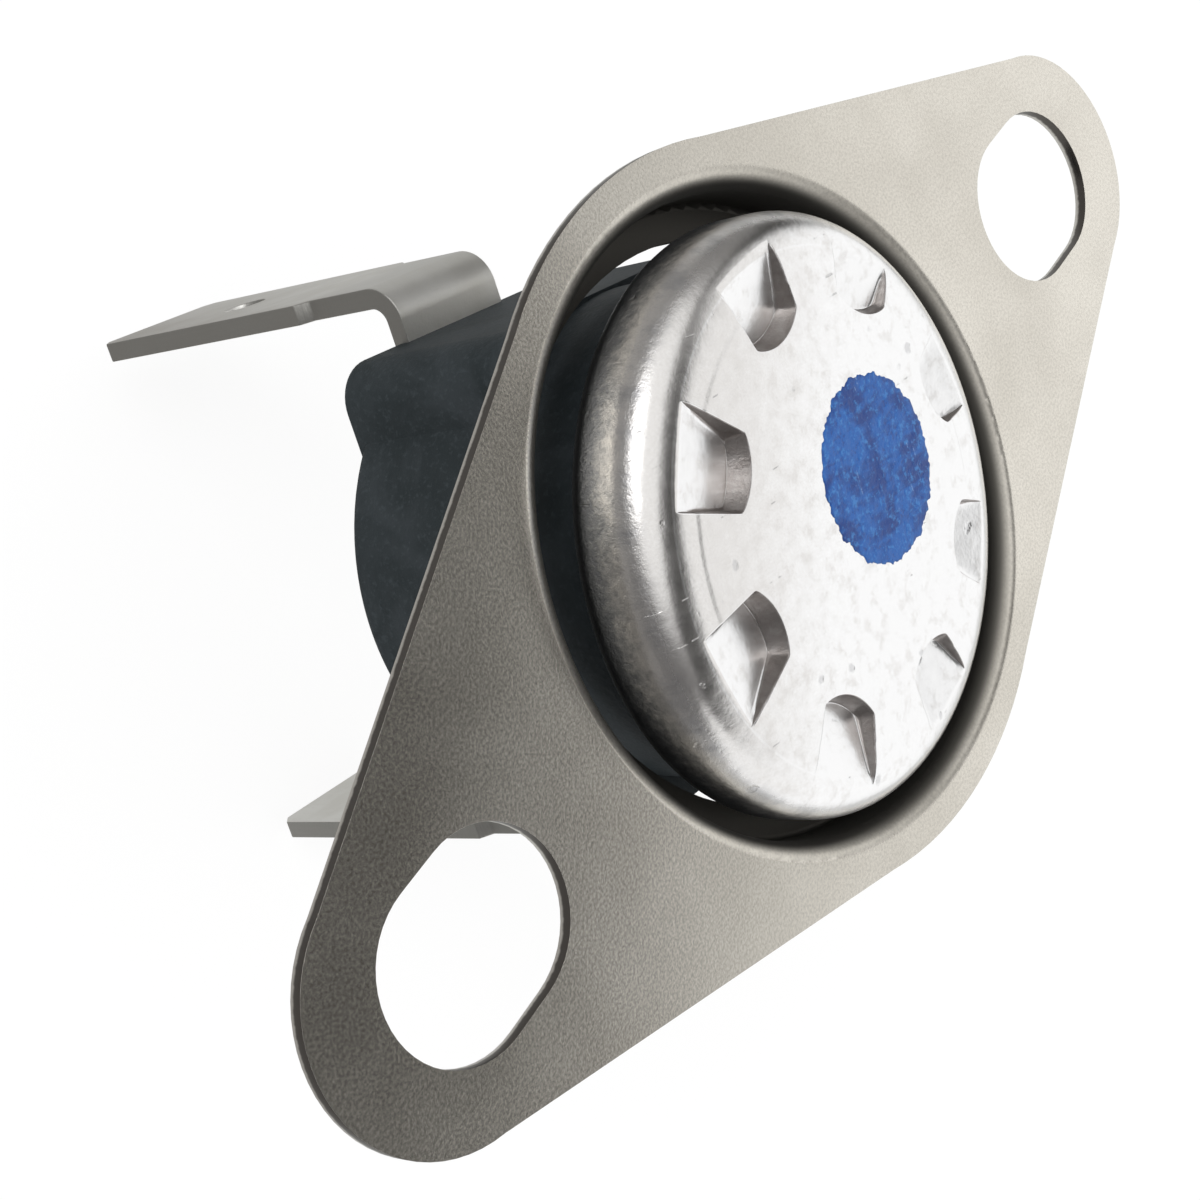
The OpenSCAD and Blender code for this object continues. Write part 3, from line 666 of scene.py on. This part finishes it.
def makeFloor():
    sheet = bmesh.new()
    bmesh.ops.create_grid(sheet, x_segments=1, y_segments=1, size=studio["floorWidth"] / 2 * mm)
    bmesh.ops.translate(sheet, vec=(0, 0, studio["floor"] * mm), verts=sheet.verts)
    mesh = bpy.data.meshes.new("floor")
    sheet.to_mesh(mesh)
    sheet.free()
    floor = bpy.data.objects.new("floor", mesh)
    bpy.context.scene.collection.objects.link(floor)
    paper = bpy.data.materials.new("floor_paper")
    paper.use_nodes = True
    look = Look(paper.node_tree)
    look.tree.nodes.clear()
    camera, glossy, through = look.rays("Is Camera Ray", "Is Glossy Ray", "Is Transmission Ray")
    seen = camera.most(glossy).most(through)
    # in metal, the paper falls off into the room's dim side
    x, y, _ = look.split(look.node("ShaderNodeTexCoord", output="Object"))
    start, end = studio["litFrom"]
    lit = look.step(pastObject(x, y), start * mm, end * mm)
    tone = look.blend(glossy, studio["paper"], look.blend(lit, studio["dimPaper"], studio["litPaper"]))
    matte = look.node("ShaderNodeBsdfDiffuse", None, {"Color": studio["matte"]})
    glow = look.node("ShaderNodeEmission", None, {"Color": tone, "Strength": studio["glow"]})
    mixed = look.node("ShaderNodeMixShader", None, {0: (seen * 0.8).most(glossy), 1: matte, 2: glow})
    look.node("ShaderNodeOutputMaterial", None, {"Surface": mixed})
    mesh.materials.append(paper)


def makeWorld():
    world = bpy.data.worlds.new("studio")
    bpy.context.scene.world = world
    world.use_nodes = True
    look = Look(world.node_tree)
    look.tree.nodes.clear()
    camera, glossy = look.rays("Is Camera Ray", "Is Glossy Ray")
    x, y, z = look.split(look.node("ShaderNodeTexCoord", output="Generated"))
    past = pastObject(x, y)
    zone = {"paperPast": (0.17, 0.28), "paperTop": (0.765, 0.685), "paperSide": (0.10, -0.15),
            "overhead": (0.62, 0.90), "overheadPast": (0.40, 0.26),
            "right": (-0.3, 0.9), "gap": (0.30, 0.50)}
    # metal sees white paper rising ahead, a dark gap above it, light overhead, and a dim room behind
    paper = look.step(past, *zone["paperPast"]) * look.step(z, *zone["paperTop"])
    paper = paper * look.step(y, *zone["paperSide"])
    overhead = look.step(0.35 * y + 0.93 * z, *zone["overhead"]) * look.step(past, *zone["overheadPast"])
    tone = look.blend(look.step(x + y, *zone["right"]), room["left"], room["right"])
    tone = look.blend(look.step(past, *zone["gap"]), tone, room["gap"])
    tone = look.blend(paper.most(overhead), tone, room["light"])
    tone = look.blend(glossy, room["fill"], tone)
    tone = look.blend(camera, tone, room["seen"])
    back = look.node("ShaderNodeBackground", None, {"Color": tone, "Strength": 1})
    look.node("ShaderNodeOutputWorld", None, {"Surface": back})


def makeLamp():
    light = bpy.data.lights.new("key", "AREA")
    light.shape = "SQUARE"
    light.size = lamp["width"]
    light.energy = lamp["power"]
    light.specular_factor = 0
    key = bpy.data.objects.new("key", light)
    key.location = Vector(lamp["heading"]).normalized() * lamp["distance"]
    key.rotation_euler = key.location.to_track_quat("Z", "Y").to_euler()
    bpy.context.scene.collection.objects.link(key)


def makeCamera():
    data = bpy.data.cameras.new("photo camera")
    data.sensor_width = view["sensor"]
    data.lens = view["lens"]
    data.clip_start, data.clip_end = view["clip"]
    camera = bpy.data.objects.new("photo camera", data)
    right, down, ahead = (Vector(view[key]) for key in ("right", "down", "ahead"))
    turn = Matrix((right, -down, -ahead)).transposed()
    camera.matrix_world = Matrix.Translation(Vector(view["place"]) * mm) @ turn.to_4x4()
    bpy.context.scene.collection.objects.link(camera)
    bpy.context.scene.camera = camera


makeFloor()
makeWorld()
makeLamp()
makeCamera()
bpy.context.scene.view_settings.view_transform = "Standard"
print("studio ready")
